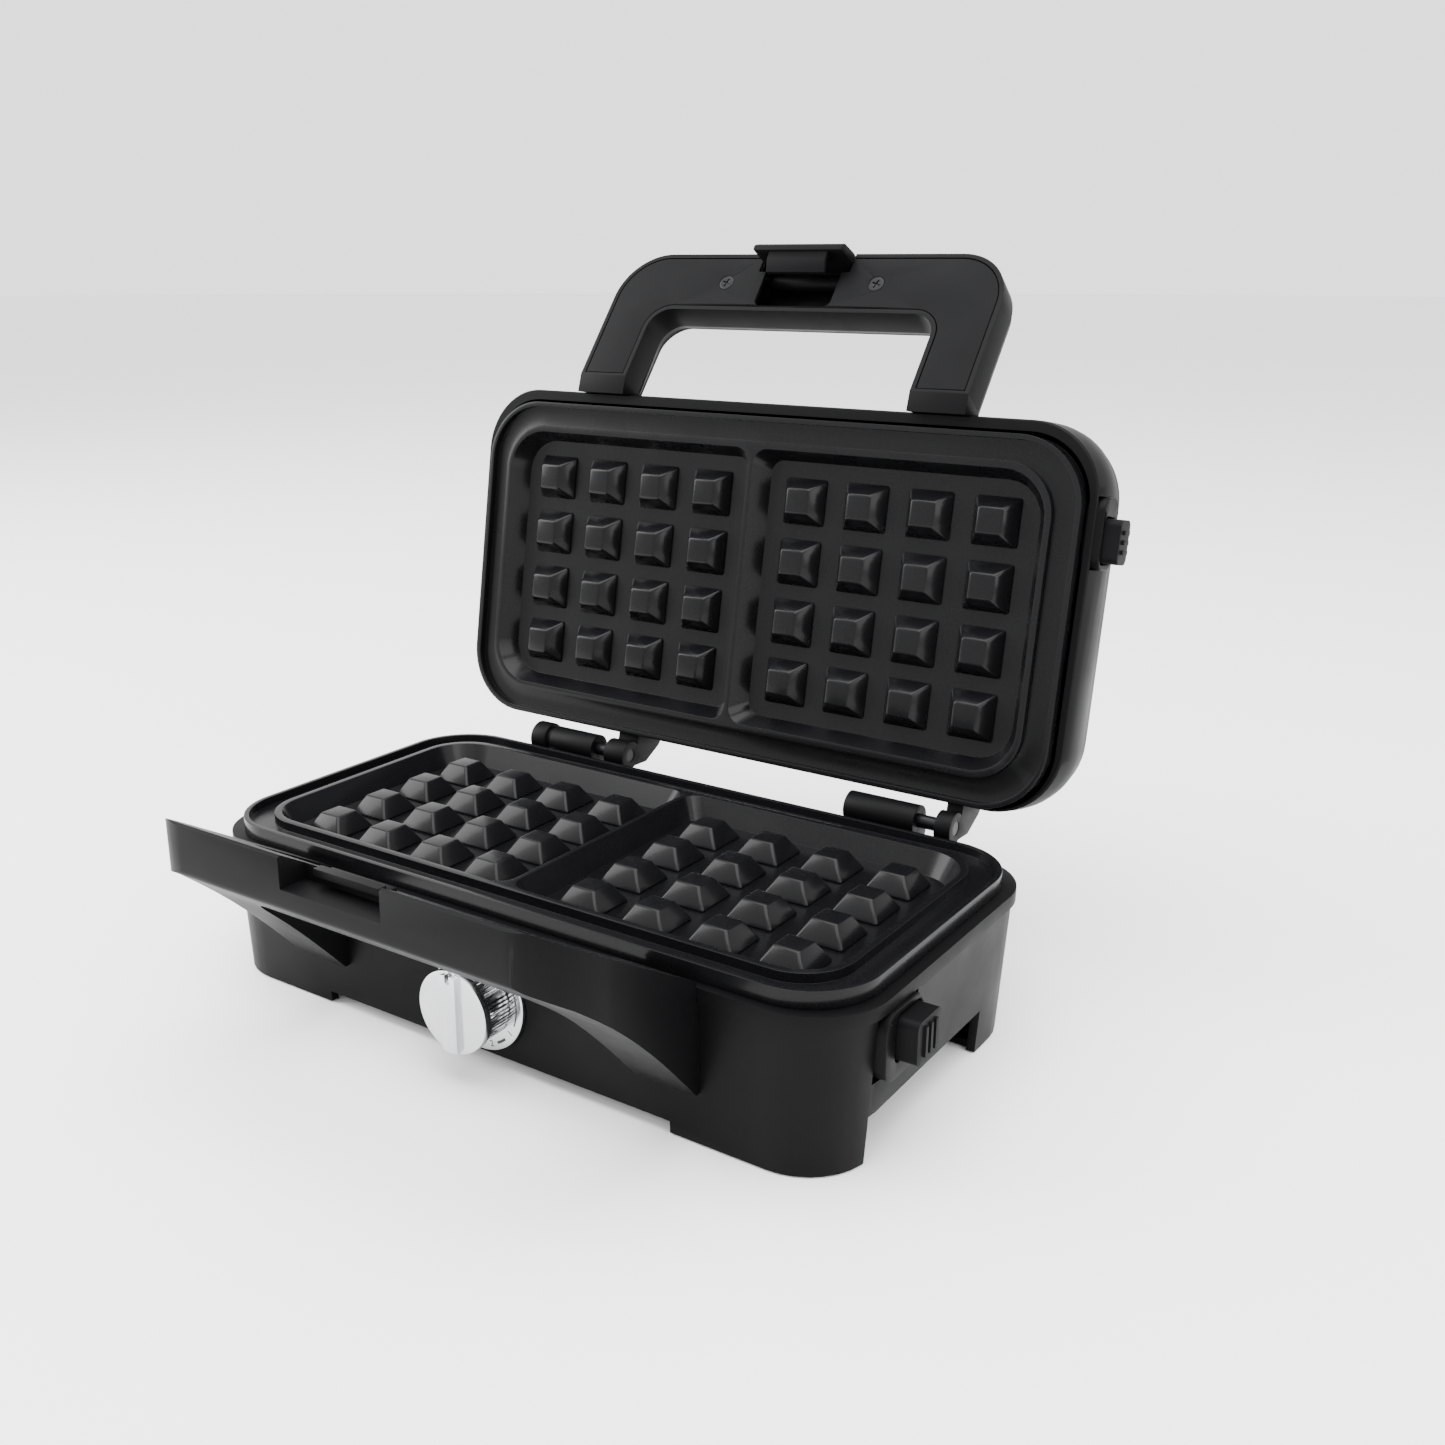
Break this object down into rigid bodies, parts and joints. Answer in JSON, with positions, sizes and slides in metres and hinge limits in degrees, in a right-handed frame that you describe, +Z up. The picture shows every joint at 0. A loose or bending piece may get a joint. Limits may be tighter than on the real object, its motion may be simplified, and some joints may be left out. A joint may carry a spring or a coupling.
{
  "type": "waffle maker",
  "caption": "Electric waffle maker with hinged lid, removable non-stick plates with pyramid grids, front loop handles with latch, heat dial and side release buttons.",
  "frame": {"origin": "on the table under the middle of the object's bounding box, with the lid open", "axes": "+Z up, -Y towards the front with the dial and the handles, +X towards the side with the release buttons"},
  "size_m": [0.2724, 0.2678, 0.2534],
  "materials": {
    "body_plastic": "fine moulded texture",
    "panel_plastic": "satin moulded",
    "foot_rubber": "moulded",
    "nonstick_coating": "black non-stick coating, semi-gloss",
    "satin_chrome": "satin plated",
    "black_print": "printed",
    "zinc_steel": "zinc plated",
    "spring_steel": "bright wire",
    "element_sheath": "drawn tube",
    "aluminised_sheet": "mill finish",
    "switch_plastic": "moulded",
    "ceramic": "glazed ceramic",
    "wire_insulation": "silicone"
  },
  "bodies": {
    "base": {"base_housing": "body_plastic", "base_bottom_cover": "body_plastic", "rubber_feet": "foot_rubber", "cover_screws": "zinc_steel", "base_handle": "body_plastic", "latch_catch": "zinc_steel", "dial_ring": "satin_chrome", "dial_ring_marks": "black_print", "rotary_switch": "switch_plastic", "base_button_bezel": "body_plastic", "base_button_spring": "spring_steel", "base_plate_clips": "zinc_steel", "lower_heating_element": "element_sheath", "lower_element_clamps": "zinc_steel", "lower_heat_shield": "aluminised_sheet", "thermostat": "ceramic", "thermal_fuse": "ceramic", "terminal_block": "ceramic", "internal_wires": "wire_insulation", "cord_gland": "panel_plastic", "hinge_brackets": "body_plastic", "hinge_end_caps": "panel_plastic", "hinge_pins": "zinc_steel"},
    "knob": {"knob_body": "satin_chrome", "knob_cap": "satin_chrome", "knob_shaft": "zinc_steel"},
    "base_button": {"base_release_button": "panel_plastic"},
    "lower_waffle_plate": {"lower_plate": "nonstick_coating", "lower_plate_grid": "nonstick_coating"},
    "lid": {"lid_shell": "body_plastic", "lid_inner_frame": "panel_plastic", "lid_hinge_ears": "body_plastic", "handle_shell": "body_plastic", "handle_panel": "panel_plastic", "handle_screws": "zinc_steel", "latch_pin": "zinc_steel", "latch_spring": "spring_steel", "lid_button_bezel": "body_plastic", "lid_button_spring": "spring_steel", "lid_plate_clips": "zinc_steel", "upper_heating_element": "element_sheath", "upper_element_clamps": "zinc_steel", "upper_heat_shield": "aluminised_sheet"},
    "latch": {"latch_hook": "panel_plastic"},
    "lid_button": {"lid_release_button": "panel_plastic"},
    "upper_waffle_plate": {"upper_plate": "nonstick_coating", "upper_plate_grid": "nonstick_coating"}
  },
  "joints": [
    {"name": "lid_hinge", "type": "hinge", "parent": "base", "child": "lid", "pos_m": [-0.00367, 0.06278, 0.0589], "axis": [1, 0, 0], "range_deg": [0, 98.56]},
    {"name": "knob_turn", "type": "hinge", "parent": "base", "child": "knob", "pos_m": [-0.00367, -0.07992, 0.0248], "axis": [0, 1, 0], "range_deg": [0, 300]},
    {"name": "base_button_push", "type": "slide", "parent": "base", "child": "base_button", "axis": [-1, 0, 0], "range_m": [0, 0.004], "stiffness_N_per_m": 600, "deforming": ["base_button_spring"]},
    {"name": "lid_button_push", "type": "slide", "parent": "lid", "child": "lid_button", "axis": [-1, 0, 0], "range_m": [0, 0.004], "stiffness_N_per_m": 600, "deforming": ["lid_button_spring"]},
    {"name": "latch_pivot", "type": "hinge", "parent": "lid", "child": "latch", "pos_m": [-0.00367, 0.12506, 0.23891], "axis": [-1, 0, 0], "range_deg": [0, 10], "stiffness_Nm_per_rad": 0.3},
    {"name": "lower_plate_lift", "type": "slide", "parent": "base", "child": "lower_waffle_plate", "axis": [0, 0, -1], "range_m": [-0.0125, 0]},
    {"name": "upper_plate_lift", "type": "slide", "parent": "lid", "child": "upper_waffle_plate", "axis": [0, 0.9864, -0.1644], "range_m": [-0.03, 0]}
  ]
}
